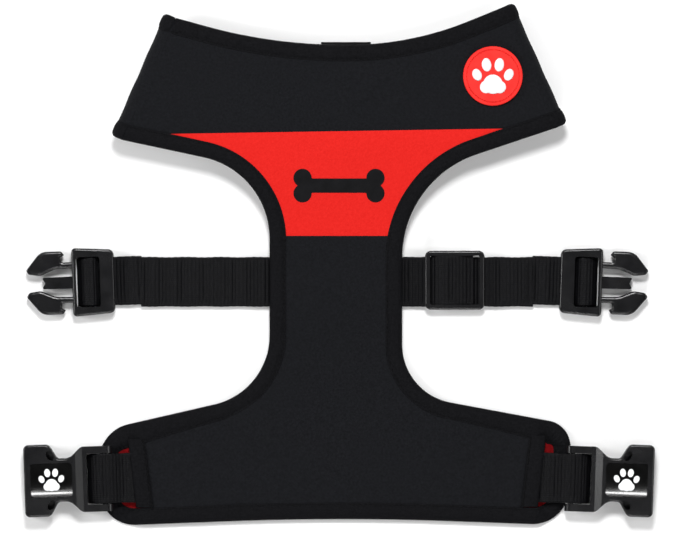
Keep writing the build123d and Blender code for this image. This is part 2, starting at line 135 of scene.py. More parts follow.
def clip(points, keep, closed=False):
    """The stretch of a path, or of a closed outline, where keep(point) is positive."""
    out = []
    count = len(points)
    for i in range(count if closed else count - 1):
        a, b = points[i], points[(i + 1) % count]
        ka, kb = keep(a), keep(b)
        if ka >= 0:
            out.append(a)
        if (ka >= 0) != (kb >= 0):
            out.append(a + (b - a) * ka / (ka - kb))
    if not closed and keep(points[-1]) >= 0:
        out.append(points[-1])
    return np.array(out)


def evenly(points, step):
    """The same path with its points a step apart."""
    length = np.concatenate([[0], np.cumsum(np.linalg.norm(np.diff(points, axis=0), axis=1))])
    at = np.linspace(0, length[-1], max(2, int(round(length[-1] / step)) + 1))
    return np.column_stack([np.interp(at, length, points[:, k]) for k in range(points.shape[1])])


def fold_axis(side):
    """A shoulder fold's axis: two points, one radius inside its silhouette, the way along it and
    the way in from it."""
    top, low = (np.array(p) for p in FOLDS[side])
    along = (low - top) / np.linalg.norm(low - top)
    inward = np.array([-along[1], along[0]])
    if inward[0] * side > 0:
        inward = -inward
    return top + inward * FOLD_R, low + inward * FOLD_R, along, inward


def inside_folds(point):
    """Positive between the two shoulder folds' axes."""
    return min(float((point - fold_axis(side)[0]) @ fold_axis(side)[3]) for side in (-1, 1))


def lay(y):
    """Height of the front layer's underside, with its bends softened."""
    soft = 9
    ys, zs = zip(*LAY)
    return float(np.mean(np.interp(np.linspace(y - soft, y + soft, 9), ys, zs)))


def seam_x(side, y):
    """X of the slanted seam where a wing's panel ends."""
    top, low = POCKET[side]
    return top + (low - top) * (y - POCKET_Y[0]) / (POCKET_Y[1] - POCKET_Y[0])


def in_polygon(points, loop):
    """Which of the points lie inside a closed outline."""
    x, y = points[:, 0], points[:, 1]
    odd = np.zeros(len(points), bool)
    for (x0, y0), (x1, y1) in zip(loop, np.roll(loop, -1, axis=0)):
        if y0 != y1:
            crosses = ((y0 > y) != (y1 > y)) & (x < (x1 - x0) * (y - y0) / (y1 - y0) + x0)
            odd ^= crosses
    return odd


def distance_to(points, line):
    """How far each point is from a run of points."""
    best = np.full(len(points), 1e9)
    for point in line:
        best = np.minimum(best, np.hypot(points[:, 0] - point[0], points[:, 1] - point[1]))
    return best


# ------------------------------------------------------------ meshes

def make_piece(name, vertices, faces, material, body=None):
    """One visible piece. A piece without a body is left unattached, and its caller bakes its transform in.
    """
    mesh = bpy.data.meshes.new(name)
    mesh.from_pydata([(x * MM, y * MM, z * MM) for x, y, z in vertices], [], [list(f) for f in faces])
    mesh.validate()
    mesh.polygons.foreach_set("use_smooth", [True] * len(mesh.polygons))
    mesh.set_sharp_from_angle(angle=math.radians(70))
    obj = bpy.data.objects.new(name, mesh)
    bpy.context.collection.objects.link(obj)
    mesh.materials.append(material)
    if body:
        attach(obj, body)
    return obj


def joined(parts):
    """Several lots of vertices and faces as one."""
    vertices, faces = [], []
    for more_vertices, more_faces in parts:
        base = len(vertices)
        vertices.extend(more_vertices)
        faces.extend([[i + base for i in face] for face in more_faces])
    return vertices, faces


def level(z):
    """A height function for slab that is the same everywhere."""
    return lambda x, y, edge: z


def slab(loop, top, under, spacing=3.0, bend=None):
    """A closed sheet over a flat outline, between two height functions of x, y and edge distance.
    Bend is a stretch of X that has to flex, so it gets close, straight columns of points."""
    loop = evenly(np.vstack([loop, loop[:1]]), spacing * 0.6)[:-1]
    low, high = loop.min(0), loop.max(0)
    rows = np.arange(low[1] + spacing / 2, high[1], spacing * 0.866)
    grid = []
    for k, y in enumerate(rows):
        xs = np.arange(low[0] + (k % 2) * spacing / 2, high[0], spacing)
        grid.append(np.column_stack([xs, np.full(len(xs), y)]))
    grid = np.vstack(grid)
    if bend:
        columns = np.linspace(*bend, 11)
        grid = grid[(grid[:, 0] < min(bend) - 0.8) | (grid[:, 0] > max(bend) + 0.8)]
        ys = np.arange(low[1] + 1.0, high[1], 1.6)
        grid = np.vstack([grid] + [np.column_stack([np.full(len(ys), x), ys]) for x in columns])
    grid = grid[in_polygon(grid, loop)]
    grid = grid[distance_to(grid, loop) > (0.5 if bend else spacing * 0.45)]
    flat = np.vstack([loop, grid])
    count = len(loop)
    ring = list(range(count))
    result = delaunay_2d_cdt([Vector(p) for p in flat], [], [ring], 1, 1e-5)
    flat = np.array([tuple(p) for p in result[0]])
    triangles = result[2]
    edge = distance_to(flat, loop)
    over = [(x, y, top(x, y, d)) for (x, y), d in zip(flat, edge)]
    below = [(x, y, under(x, y, d)) for (x, y), d in zip(flat, edge)]
    total = len(flat)
    up = []
    for a, b, c in triangles:
        turn = np.cross(flat[b] - flat[a], flat[c] - flat[a])
        up.append((a, b, c) if turn > 0 else (a, c, b))
    down = [(c + total, b + total, a + total) for a, b, c in up]
    sides = {}
    for a, b, c in up:
        for edge_key in ((a, b), (b, c), (c, a)):
            sides[edge_key] = True
    rim = [(b, a, a + total, b + total) for a, b in sides if (b, a) not in sides]
    return over + below, up + down + rim


def sweep(rings):
    """A skin over equal closed sections, in order, with its two ends closed."""
    count = len(rings[0])
    vertices = [tuple(p) for ring in rings for p in ring]
    faces = []
    last = (len(rings) - 1) * count
    for base in range(0, last, count):
        for k in range(count):
            m = (k + 1) % count
            faces.append((base + k, base + m, base + count + m, base + count + k))
    faces.append(tuple(range(count))[::-1])
    faces.append(tuple(last + k for k in range(count)))
    return vertices, faces


RIB_STEP = 0.46            # half of the pitch of the tape's ribs
TAPE_RIB = 0.2
STITCH_IN = 1.0            # the tape's stitches, in from its inner edge
STITCH_LIFT = 0.14
STITCH_PITCH = 2.7
STITCH_LONG = 1.7
THREAD_R = 0.26


def tape_section(half, width):
    """A folded tape round an edge: pairs of distance in from the edge, and height off the middle."""
    over = half + 0.25
    return [
        (width, over - 0.3), (width - 0.4, over + 0.1), (width - 0.9, over - 0.2),
        (width - 1.2, over - 0.2), (width - 1.6, over + 0.15), (width * 0.55, over + 0.35),
        (width * 0.3, over + 0.3), (1.2, over), (0.3, half * 0.55), (0.0, 0.0),
        (0.3, -half * 0.55), (1.2, -over), (width * 0.5, -over - 0.05), (width - 1.0, -over + 0.15),
        (width, -over + 0.15), (width - 0.4, -half + 0.5), (width - 0.4, half - 0.5),
    ]


def plain(y):
    """The tape's usual width."""
    return TAPE


def gathered(y):
    """The tape's width along a wing: it is wider where it gathers round the upper corner."""
    return TAPE + 3.0 * math.exp(-((y + 81.0) / 7.5) ** 2)


def tape_sweep(stations, width_at):
    """Ribbed tape along an edge. Each station is a point, the way into the cloth, the cloth's
    normal, and half the cloth's thickness."""
    rings = []
    for i, (point, into, normal, half) in enumerate(stations):
        lift = TAPE_RIB if i % 2 else 0.0
        width = width_at(point[1])
        ring = []
        for d, h in tape_section(half, width):
            outward = lift * (1 if h > 0 else -1) if d < width - 0.5 else 0.0
            ring.append(point + into * (d - (lift if d < 1 else 0)) + normal * (h + outward))
        rings.append(ring)
    return sweep(rings)


def edge_stations(path, inside_left, top, under):
    """Stations along a flat path. The heights are functions of x and y, and the slope of the
    cloth is taken a little way in from its edge."""
    probe = 4.0
    path = evenly(path, RIB_STEP)
    along = np.gradient(path, axis=0)
    along /= np.linalg.norm(along, axis=1)[:, None]
    stations = []
    for (x, y), (dx, dy) in zip(path, along):
        into = np.array([-dy, dx, 0.0]) * (1 if inside_left else -1)
        high, low = top(x, y), under(x, y)
        rise = (top(x + into[0] * probe, y + into[1] * probe) - high) / probe
        into = np.array([into[0], into[1], rise])
        into /= np.linalg.norm(into)
        tangent = np.array([dx, dy, 0.0])
        normal = np.cross(tangent, into)
        normal *= 1 if normal[2] > 0 else -1
        normal /= np.linalg.norm(normal)
        stations.append((np.array([x, y, (high + low) / 2]), into, normal, (high - low) / 2))
    return stations


def fold_stations(side, at_neck, end_y):
    """Stations round a shoulder fold, at its neck end or its lower end, from front to back."""
    top, low, along, inward = fold_axis(side)
    end = np.array([*(top if at_neck else low), 0.0])
    run = np.array([*along, 0.0]) * (1 if at_neck else -1)
    end = end + run * ((end_y - end[1]) / run[1])
    out = np.array([*(-inward), 0.0])
    middle = FOLD_R - (SHELL + LINING) / 2
    count = int(math.pi * middle / RIB_STEP)
    stations = []
    for k in range(1, count):
        angle = math.pi * k / count
        normal = out * math.sin(angle) + UP * math.cos(angle)
        point = end + UP * FOLD_AXIS_Z + normal * middle
        stations.append((point, run, normal, (SHELL + LINING) / 2))
    return stations


def turned_over(stations):
    """The same stations seen from the cloth's other face."""
    return [(point, into, -normal, half) for point, into, normal, half in stations]


def stitches(stations, width_at):
    """Thread stitches that follow a tape, as short rounded bars."""
    lots = []
    every = STITCH_PITCH / RIB_STEP
    for k in range(int(len(stations) / every) - 1):
        i = int(k * every)
        point, into, normal, half = stations[i]
        ahead = stations[min(i + 2, len(stations) - 1)][0] - point
        size = np.linalg.norm(ahead)
        if size < 1e-6:
            continue
        ahead = ahead / size
        depth = width_at(point[1]) - STITCH_IN
        centre = point + into * depth + normal * (half + STITCH_LIFT)
        lots.append(bar(centre, ahead, into, normal, STITCH_LONG, THREAD_R))
    return joined(lots)


def bar(centre, along, across, normal, length, radius):
    """A short rounded bar, pinched at both ends."""
    rings = []
    for at, grow, sink in ((-0.5, 0.35, -0.7), (-0.3, 0.9, 0.0), (0.3, 0.9, 0.0), (0.5, 0.35, -0.7)):
        ring = []
        for k in range(6):
            angle = math.pi / 3 * k
            offset = across * math.cos(angle) + normal * (math.sin(angle) + sink)
            ring.append(centre + along * at * length + offset * radius * grow)
        rings.append(ring)
    return sweep(rings)


def webbing(path, width, middle_y, thickness=WEB_T, rib=0.26):
    """Ribbed webbing along a centre line in X and Z, as wide as it is along Y. The ribs stand
    between grooves, which are cut into both faces."""
    step, pitch = 0.3, 1.85
    line = evenly(np.array(path, float), step)
    along = np.gradient(line, axis=0)
    along /= np.linalg.norm(along, axis=1)[:, None]
    across = np.array([-1, -0.985, -0.93, -0.86, -0.7, -0.35, 0, 0.35, 0.7, 0.86, 0.93, 0.985, 1])
    rings = []
    length = 0.0
    for i, ((x, z), (dx, dz)) in enumerate(zip(line, along)):
        length += 0 if i == 0 else float(np.linalg.norm(line[i] - line[i - 1]))
        groove = (1 - abs(math.sin(math.pi * length / pitch))) ** 2
        groove *= 2 * rib * (0.8 + 0.3 * math.sin(length * 0.9) * math.sin(length * 0.23))
        waver = 0.12 * math.sin(length * 0.35) + 0.05 * math.sin(length * 1.9)
        nx, nz = -dz, dx
        upper, lower = [], []
        for s in across:
            edge = abs(s) > 0.9
            half = thickness / 2 * (0.55 if abs(s) == 1 else 1.0)
            sunk = groove * (0.4 if edge else 1.0)
            y = middle_y + s * (width / 2 + (waver if edge else 0))
            upper.append((x + nx * (half - sunk), y, z + nz * (half - sunk)))
            lower.append((x - nx * (half - sunk * 0.3), y, z - nz * (half - sunk * 0.3)))
        rings.append(upper + lower[::-1])
    return sweep(rings)


# ------------------------------------------------------------ materials

def shader(name, color, roughness, **sockets):
    """A material, its node tree and its shader node, with more sockets set by name."""
    material = bpy.data.materials.new(name)
    material.use_nodes = True
    tree = material.node_tree
    node = tree.nodes["Principled BSDF"]
    node.inputs["Base Color"].default_value = (*color, 1)
    node.inputs["Roughness"].default_value = roughness
    for key, value in sockets.items():
        node.inputs[key.replace("_", " ")].default_value = value
    return material, tree, node


def add(tree, kind, **values):
    """A new node, with values for its sockets or, failing that, its properties."""
    node = tree.nodes.new(kind)
    for key, value in values.items():
        if key in node.inputs:
            node.inputs[key].default_value = value
        else:
            setattr(node, key, value)
    return node


def place(tree):
    """Where a point is on its object."""
    return add(tree, "ShaderNodeTexCoord").outputs["Object"]


def tinted(tree, node, where, dark, light, scale, detail):
    """The base colour wanders between two tones."""
    noise = add(tree, "ShaderNodeTexNoise", Scale=scale, Detail=detail, Roughness=0.6)
    ramp = add(tree, "ShaderNodeValToRGB")
    ramp.color_ramp.elements[0].position = 0.3
    ramp.color_ramp.elements[1].position = 0.7
    ramp.color_ramp.elements[0].color = (*dark, 1)
    ramp.color_ramp.elements[1].color = (*light, 1)
    tree.links.new(where, noise.inputs["Vector"])
    tree.links.new(noise.outputs["Fac"], ramp.inputs["Fac"])
    tree.links.new(ramp.outputs["Color"], node.inputs["Base Color"])
    return noise


def bumped(tree, node, heights):
    """Chain several heights, each with its strength, into the shader's normal."""
    previous = None
    for height, strength in heights:
        bump = add(tree, "ShaderNodeBump", Strength=strength, Distance=0.0002)
        tree.links.new(height, bump.inputs["Height"])
        if previous:
            tree.links.new(previous, bump.inputs["Normal"])
        previous = bump.outputs["Normal"]
    tree.links.new(previous, node.inputs["Normal"])


def neoprene(name, dark, light, sheen=0.03):
    """Knitted jersey over foam: fine loops, slight mottling, soft sheen."""
    material, tree, node = shader(name, light, 0.82, Sheen_Weight=sheen, Sheen_Roughness=0.5,
                                  Specular_IOR_Level=0.05)
    where = place(tree)
    tinted(tree, node, where, dark, light, 900, 5.0)
    loops = add(tree, "ShaderNodeTexVoronoi", Scale=1500.0)
    grain = add(tree, "ShaderNodeTexNoise", Scale=420.0, Detail=4.0)
    for texture in (loops, grain):
        tree.links.new(where, texture.inputs["Vector"])
    roughness = add(tree, "ShaderNodeMapRange")
    roughness.inputs["To Min"].default_value = 0.74
    roughness.inputs["To Max"].default_value = 0.92
    tree.links.new(grain.outputs["Fac"], roughness.inputs["Value"])
    tree.links.new(roughness.outputs["Result"], node.inputs["Roughness"])
    bumped(tree, node, [(loops.outputs["Distance"], 0.5), (grain.outputs["Fac"], 0.35)])
    return material


def woven(name, dark, light, across, along, roughness, spec=0.05):
    """Woven tape or webbing: fine yarns both ways over the modelled ribs. Scales are per metre."""
    material, tree, node = shader(name, light, roughness, Specular_IOR_Level=spec)
    where = place(tree)
    tinted(tree, node, where, dark, light, 1100, 4.0)
    warp = add(tree, "ShaderNodeTexWave", Scale=across, Distortion=0.4, bands_direction="Y")
    weft = add(tree, "ShaderNodeTexWave", Scale=along, Distortion=0.5, bands_direction="X")
    fuzz = add(tree, "ShaderNodeTexNoise", Scale=1600.0, Detail=3.0)
    for texture in (warp, weft, fuzz):
        tree.links.new(where, texture.inputs["Vector"])
    bumped(tree, node, [
        (warp.outputs["Fac"], 0.35), (weft.outputs["Fac"], 0.3), (fuzz.outputs["Fac"], 0.4),
    ])
    return material


def moulded(name, dark, light, roughness, strength=0.08, **sockets):
    """Moulded plastic, rubber or metal: a faint texture, uneven gloss, slightly paler scuffs."""
    material, tree, node = shader(name, light, roughness, **sockets)
    where = place(tree)
    tinted(tree, node, where, dark, light, 180, 3.0)
    fine = add(tree, "ShaderNodeTexNoise", Scale=900.0, Detail=3.0)
    broad = add(tree, "ShaderNodeTexNoise", Scale=120.0, Detail=2.0)
    for texture in (fine, broad):
        tree.links.new(where, texture.inputs["Vector"])
    gloss = add(tree, "ShaderNodeMapRange")
    gloss.inputs["To Min"].default_value = roughness - 0.06
    gloss.inputs["To Max"].default_value = roughness + 0.08
    tree.links.new(broad.outputs["Fac"], gloss.inputs["Value"])
    tree.links.new(gloss.outputs["Result"], node.inputs["Roughness"])
    bumped(tree, node, [(fine.outputs["Fac"], strength)])
    return material


BLACK = neoprene("black neoprene", (0.0050, 0.0052, 0.0062), (0.0092, 0.0096, 0.0115))
RED = neoprene("red neoprene", (0.59, 0.013, 0.010), (0.67, 0.019, 0.015), sheen=0.0)
LINING_RED = neoprene("red lining", (0.13, 0.003, 0.004), (0.20, 0.004, 0.006), sheen=0.02)
TAPE_BLACK = woven("binding tape", (0.0026, 0.0026, 0.0032), (0.0075, 0.0075, 0.0088), 500, 500, 0.72)
WEB_BLACK = woven("webbing", (0.0015, 0.0015, 0.002), (0.0055, 0.0055, 0.0065), 330, 560, 0.5,
                  spec=0.09)
THREAD = woven("thread", (0.003, 0.003, 0.003), (0.008, 0.008, 0.009), 1500, 1500, 0.6)
PLASTIC = moulded("black acetal", (0.0035, 0.0035, 0.004), (0.0065, 0.0065, 0.0075), 0.24,
                  Specular_IOR_Level=0.4)
LABEL = moulded("label", (0.002, 0.002, 0.002), (0.004, 0.004, 0.004), 0.12, strength=0.005,
                Coat_Weight=0.6)
WHITE = moulded("white print", (0.74, 0.75, 0.76), (0.86, 0.87, 0.88), 0.42)
PRINT = moulded("black print", (0.003, 0.003, 0.0035), (0.006, 0.006, 0.007), 0.7, strength=0.2,
                Specular_IOR_Level=0.1)
BADGE_RED = moulded("red rubber", (0.76, 0.016, 0.012), (0.84, 0.026, 0.019), 0.6, strength=0.12,
                    Specular_IOR_Level=0.2)
STEEL = moulded("ring steel", (0.45, 0.45, 0.46), (0.62, 0.62, 0.64), 0.25, Metallic=1.0)


# ------------------------------------------------------------ the front layer

def band_line(edge, x):
    """Y of one of the red band's edges."""
    return edge[0] + edge[1] * x


def billow(x, y):
    """Slow, slight waves that cloth keeps when it is laid down. They fade out at the folds."""
    calm = 1.0
    if y > SHOULDERS_ABOVE:
        calm = min(max(inside_folds(np.array([x, y])) / 15.0, 0.0), 1.0)
    wave = 0.35 * math.sin(x * 0.045 + 0.6) * math.cos(y * 0.06)
    return calm * (wave + 0.2 * math.sin(x * 0.11 + y * 0.07))


def shell_top(x, y):
    """Top of the neoprene away from its edges."""
    return lay(y) + LINING + SHELL + billow(x, y)


def shell_seam(x, y, edge):
    """The shell's top. It lies calm and a little lower where the cloth is sewn, but not at the
    folds or where a panel is only carried on by the next mesh."""
    no_join = 50.0
    if y > SHOULDERS_ABOVE:
        join = inside_folds(np.array([x, y]))
    else:
        join = abs(abs(x) - SEAM_X) if y < WINGS_BELOW + 5 else no_join
    sewn = min(max((join - edge) / 2.0, 0.0), 1.0)
    calm = 1 - sewn * (1 - min(max(edge - TAPE, 0.0) / 10.0, 1.0))
    return lay(y) + LINING + SHELL + billow(x, y) * calm - 0.35 * math.exp(-edge / 0.8) * sewn


def shell_under(x, y, edge):
    return lay(y) + LINING + 0.1


def lining_under(x, y, edge):
    return lay(y) + 0.05


def front_edges(past=0.0):
    """The neck edge and the lower edge between the folds' axes, or a little past them."""
    neck = clip(rounded_path(NECK), lambda p: inside_folds(p) + past)
    lower = clip(rounded_path(LOWER), lambda p: inside_folds(p) + past if p[1] > SHOULDERS_ABOVE else 1.0)
    return neck, lower


neck_edge, lower_edge = front_edges()


def inset_loop(loop, amount):
    """A closed outline moved inwards a little, for the cloth's cut edge under the tape."""
    loop = evenly(np.vstack([loop, loop[:1]]), 1.5)[:-1]
    along = np.roll(loop, -1, axis=0) - np.roll(loop, 1, axis=0)
    along /= np.linalg.norm(along, axis=1)[:, None]
    normal = np.column_stack([along[:, 1], -along[:, 0]])
    area = np.sum(loop[:, 0] * np.roll(loop[:, 1], -1) - loop[:, 1] * np.roll(loop[:, 0], -1))
    return loop - normal * amount * (1 if area > 0 else -1)


wide_neck, wide_lower = front_edges(1.0)
cloth_loop = inset_loop(np.vstack([wide_neck, wide_lower[::-1]]), 1.0)


def in_middle(side):
    """Positive for a point that isn't part of that side's wing."""
    return lambda p: SEAM_X - side * p[0] if p[1] < WINGS_BELOW else 1.0


def front_cloth():
    """The three neoprene panels of the middle, and the lining under them."""
    neck = clip(cloth_loop, lambda p: p[1] - band_line(BAND_HIGH, p[0]), True)
    band = clip(cloth_loop, lambda p: band_line(BAND_HIGH, p[0]) - p[1], True)
    band = clip(band, lambda p: p[1] - band_line(BAND_LOW, p[0]), True)
    body = clip(cloth_loop, lambda p: band_line(BAND_LOW, p[0]) - p[1], True)
    body = clip(clip(body, lambda p: SEAM_X - p[0], True), lambda p: SEAM_X + p[0], True)
    for name, loop, material, slot in (
        ("neck_panel", neck, BLACK, "black_neoprene"),
        ("chest_band", band, RED, "red_neoprene"),
        ("body_panel", body, BLACK, "black_neoprene"),
    ):
        vertices, faces = slab(loop, shell_seam, shell_under)
        piece = make_piece(name + "_cloth", vertices, faces, material, "vest")
        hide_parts(name)
    middle = clip(clip(cloth_loop, in_middle(1), True), in_middle(-1), True)
    vertices, faces = slab(middle, shell_under, lining_under, 4.0)
    piece = make_piece("front_lining_cloth", vertices, faces, LINING_RED, "vest")
    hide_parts("front_lining")


def blended(piece):
    """Bake a piece's transform into its mesh; it is not attached to any body."""
    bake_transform(piece)


def wing_blend(piece):
    blended(piece)


def wing_cloth(side):
    """A wing's neoprene, which ends at the pocket's seam, and its lining, which goes on."""
    name = NAMES[side]
    wing = clip(cloth_loop, lambda p: side * p[0] - SEAM_X, True)
    wing = clip(wing, lambda p: WINGS_BELOW - p[1], True)
    panel = clip(wing, lambda p: side * (seam_x(side, p[1]) - p[0]), True)
    fold = tuple(side * (WING_FOLD_X + off) for off in (-WING_FLEX - 0.6, WING_FLEX + 0.6))
    vertices, faces = slab(panel, shell_seam, shell_under, 2.0, fold)
    piece = make_piece(name + "_wing_cloth", vertices, faces, BLACK, None)
    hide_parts(name + "_wing_panel")
    wing_blend(piece)
    vertices, faces = slab(wing, shell_under, lining_under, 2.0, fold)
    piece = make_piece(name + "_wing_lining_cloth", vertices, faces, LINING_RED, None)
    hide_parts(name + "_wing_lining")
    wing_blend(piece)


def shell_edge_top(x, y):
    """Top of the sewn edge. Beyond the pocket only the lining is left in the tape."""
    full = lay(y) + LINING + SHELL + 0.1
    thin = 1.6
    share = min(max((abs(x) - 99.0) / 7.0, 0.0), 1.0)
    if y > WINGS_BELOW:
        return full
    return full + (thin - full) * share * share * (3 - 2 * share)


def edge_under(x, y):
    return lay(y) + 0.1


def back_top(x, y):
    return BACK_Z + SHELL + LINING


def back_under(x, y):
    return BACK_Z


def add_tape(name, stations, sewn, body, replaced, side=None, width_at=plain):
    """A binding tape, and its stitches along the stations where it is seen. Given a side, both
    have their transforms baked in."""
    vertices, faces = tape_sweep(stations, width_at)
    piece = make_piece(name, vertices, faces, TAPE_BLACK, body)
    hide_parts(*replaced)
    vertices, faces = stitches(sewn, width_at)
    stitch = make_piece(name + "_stitching", vertices, faces, THREAD, body)
    if side:
        wing_blend(piece)
        wing_blend(stitch)


def neck_binding():
    """One ring of tape: the front neckline, over the right fold, the back neckline, and back."""
    front = edge_stations(neck_edge, False, shell_edge_top, edge_under)
    back_edge = clip(rounded_path(BACK_NECK), inside_folds)
    back = turned_over(edge_stations(back_edge[::-1], True, back_top, back_under))
    right = fold_stations(1, True, neck_edge[-1][1])
    left = fold_stations(-1, True, neck_edge[0][1])[::-1]
    add_tape("neck_binding_tape", front + right + back + left, front, "vest",
             ["front_neck_binding", "back_neck_binding"])


def side_bindings(side, path):
    """Tapes of one half of the lower edge, whose path runs from the shoulder down to the belly."""
    name = NAMES[side]
    inside_left = side < 0
    wing_from = int(np.argmax((path[:, 1] < WINGS_BELOW) & (side * path[:, 0] > SEAM_X)))
    first = clip(path[:wing_from + 1], in_middle(side))
    rest = path[wing_from - 1:]
    wing = clip(rest, lambda p: side * p[0] - SEAM_X + 0.3)
    belly = clip(rest[len(rest) // 3:], lambda p: SEAM_X - side * p[0])

    arm = edge_stations(first, inside_left, shell_edge_top, edge_under)
    turn = fold_stations(side, False, first[0][1])[::-1]
    behind = clip(clip(rounded_path(BACK_LOWER), inside_folds), lambda p: side * (p[0] - DORSAL_X))
    rear = turned_over(edge_stations(behind[::side], side > 0, back_top, back_under))
    add_tape(f"{name}_side_tape", rear + turn + arm, arm, "vest",
             [f"{name}_side_binding", f"{name}_back_lower_binding"])

    rim = edge_stations(wing, inside_left, shell_edge_top, edge_under)
    add_tape(f"{name}_wing_tape", rim, rim, None, [f"{name}_wing_binding"], side, gathered)
    base = edge_stations(belly, inside_left, shell_edge_top, edge_under)
    add_tape(f"{name}_belly_tape", base, base, "vest", ["belly_binding"])


def bindings():
    """All tapes. The lower edge is split at the middle of the belly."""
    neck_binding()
    away = np.where(lower_edge[:, 1] < -100, np.abs(lower_edge[:, 0]), np.inf)
    half = int(np.argmin(away))
    side_bindings(-1, lower_edge[:half + 1])
    side_bindings(1, lower_edge[half:][::-1])


# The pocket tape's section: share of its width out from the seam, and height.
POCKET_SECTION = [
    (0, 4.1), (0.12, 4.45), (0.5, 4.75), (0.85, 4.6), (1.0, 3.9), (1.0, 2.6), (0.8, 1.9), (0, 1.9),
]


def pocket_tape(side):
    """The slanted taped edge that the wing's webbing comes out from under."""
    name = NAMES[side]
    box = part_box(name + "_pocket_binding")
    ys = np.arange(box[0].y / MM + 0.2, box[1].y / MM - 0.2, RIB_STEP)
    rings, thread = [], []
    for i, y in enumerate(ys):
        lift = 0.09 if i % 2 else 0.0
        inner = seam_x(side, y) - side * 0.8
        outer = seam_x(side, y) + side * POCKET_WIDE
        over_web = math.exp(-((y - SOCKET_Y) / 13.2) ** 8)
        ring = []
        for share, z in POCKET_SECTION:
            top = z + (lift + over_web * (0.3 + 1.1 * share) if z > 2.5 else 0)
            ring.append((inner + (outer - inner) * share, y, top))
        rings.append(ring)
        if i % 4 == 0:
            centre = np.array([inner + side * 1.0, y, 4.62 + 0.4 * over_web])
            along, across = np.array([0, 1.0, 0]), np.array([1.0, 0, 0])
            thread.append(bar(centre, along, across, UP, STITCH_LONG, THREAD_R))
    vertices, faces = sweep(rings)
    piece = make_piece(name + "_pocket_tape", vertices, faces, TAPE_BLACK, name + "_wing")
    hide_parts(name + "_pocket_binding")
    vertices, faces = joined(thread)
    make_piece(name + "_pocket_tape_stitching", vertices, faces, THREAD, name + "_wing")


# ------------------------------------------------------------ shoulder folds and the back

def shoulder(side):
    """The half tube of neoprene and lining where the front turns over to the back."""
    name = NAMES[side]
    top, low, along, inward = fold_axis(side)
    end = 0 if side < 0 else -1
    under_tape = 0.6
    top = top + along * ((neck_edge[end][1] - top[1]) / along[1] + under_tape)
    low = low + along * ((lower_edge[end][1] - low[1]) / along[1] - under_tape)
    out = np.array([*(-inward), 0.0])
    half_turn = np.linspace(0, math.pi, 15)
    for part, outer, inner, material, slot in (
        ("fold_cloth", FOLD_R, FOLD_R - SHELL, BLACK, "black_neoprene"),
        ("fold_lining", FOLD_R - SHELL, FOLD_R - SHELL - LINING, LINING_RED, "red_lining"),
    ):
        rings = []
        for point in np.linspace(top, low, 26):
            centre = np.array([point[0], point[1], FOLD_AXIS_Z])
            ring = []
            for radius, angles in ((outer, half_turn), (inner, half_turn[::-1])):
                for angle in angles:
                    wave = 0.12 * math.sin(point[1] * 0.35 + angle * 2) if radius == FOLD_R else 0
                    ray = out * math.sin(angle) + UP * math.cos(angle)
                    ring.append(centre + ray * (radius + wave))
            rings.append(ring)
        vertices, faces = sweep(rings)
        piece = make_piece(f"{name}_shoulder_{part}", vertices, faces, material, "vest")
        if part == "fold_cloth":
            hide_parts(f"{name}_shoulder_fold")


def back_rounded(x, y, edge):
    """Underside of a back panel, a little higher at its edge."""
    return BACK_Z + 0.3 * math.exp(-edge)


def back_collar():
    """Two back panels that meet under the dorsal strap, and the lining over them."""
    neck = clip(rounded_path(BACK_NECK), lambda p: inside_folds(p) + 1.0)
    lower = clip(rounded_path(BACK_LOWER), lambda p: inside_folds(p) + 1.0)
    loop = inset_loop(np.vstack([neck, lower[::-1]]), 1.0)
    for side in (-1, 1):
        half = clip(loop, lambda p: side * (p[0] - DORSAL_X), True)
        vertices, faces = slab(half, level(BACK_Z + SHELL), back_rounded, 4.0)
        piece = make_piece(NAMES[side] + "_back_cloth", vertices, faces, BLACK, "vest")
        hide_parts(NAMES[side] + "_back_panel")
    vertices, faces = slab(loop, level(BACK_Z + SHELL + LINING), level(BACK_Z + SHELL), 4.0)
    piece = make_piece("back_lining_cloth", vertices, faces, LINING_RED, "vest")
    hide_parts("back_lining")


# ------------------------------------------------------------ webbing

DOUBLE_LOW = WEB_T / 2 + 0.02          # middle heights of a doubled strap's two layers
DOUBLE_HIGH = WEB_T * 1.5 + 0.3


def web_piece(name, lots, body, replaced):
    """One piece of webbing in place of one CAD strap."""
    vertices, faces = joined(lots)
    piece = make_piece(name, vertices, faces, WEB_BLACK, body)
    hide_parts(replaced)
    return piece


def turned_y(vertices):
    """Webbing drawn along X, turned to run along -Y at the dorsal strap's place."""
    return [(DORSAL_X + y, -x, z) for x, y, z in vertices]


def dorsal():
    """The strap down the back, and the tab under it that holds the lead ring."""
    path = [(-113.1, 4.62), (-40, 4.62), (-12, 3.93), (20.5, 3.93)]
    vertices, faces = webbing(path, WEB, 0.0)
    web_piece("dorsal_webbing", [(turned_y(vertices), faces)], "vest", "dorsal_strap")
    tab = [(-97, 3.6), (-91, 0.45), (-85, 0.45), (-79, 3.6)]
    vertices, faces = webbing(tab, 20.0, 0.0, thickness=0.6, rib=0.05)
    web_piece("ring_tab_webbing", [(turned_y(vertices), faces)], "vest", "ring_tab")


def flat(x0, x1, z):
    """A level centre line."""
    return [(x0, z), (x1, z)]


def placed(vertices, side, origin):
    """From a buckle's own frame, outwards along +X, to its place in the vest."""
    x0, y0 = origin
    out = []
    for x, y, z in vertices:
        px = x0 + x * math.cos(TILT) + y * math.sin(TILT)
        py = y0 - x * math.sin(TILT) + y * math.cos(TILT)
        out.append((side * px, py, z))
    return out


def mirrored(faces, side):
    """The faces, turned round if side is -1, as their vertices are then mirrored."""
    return faces if side > 0 else [face[::-1] for face in faces]


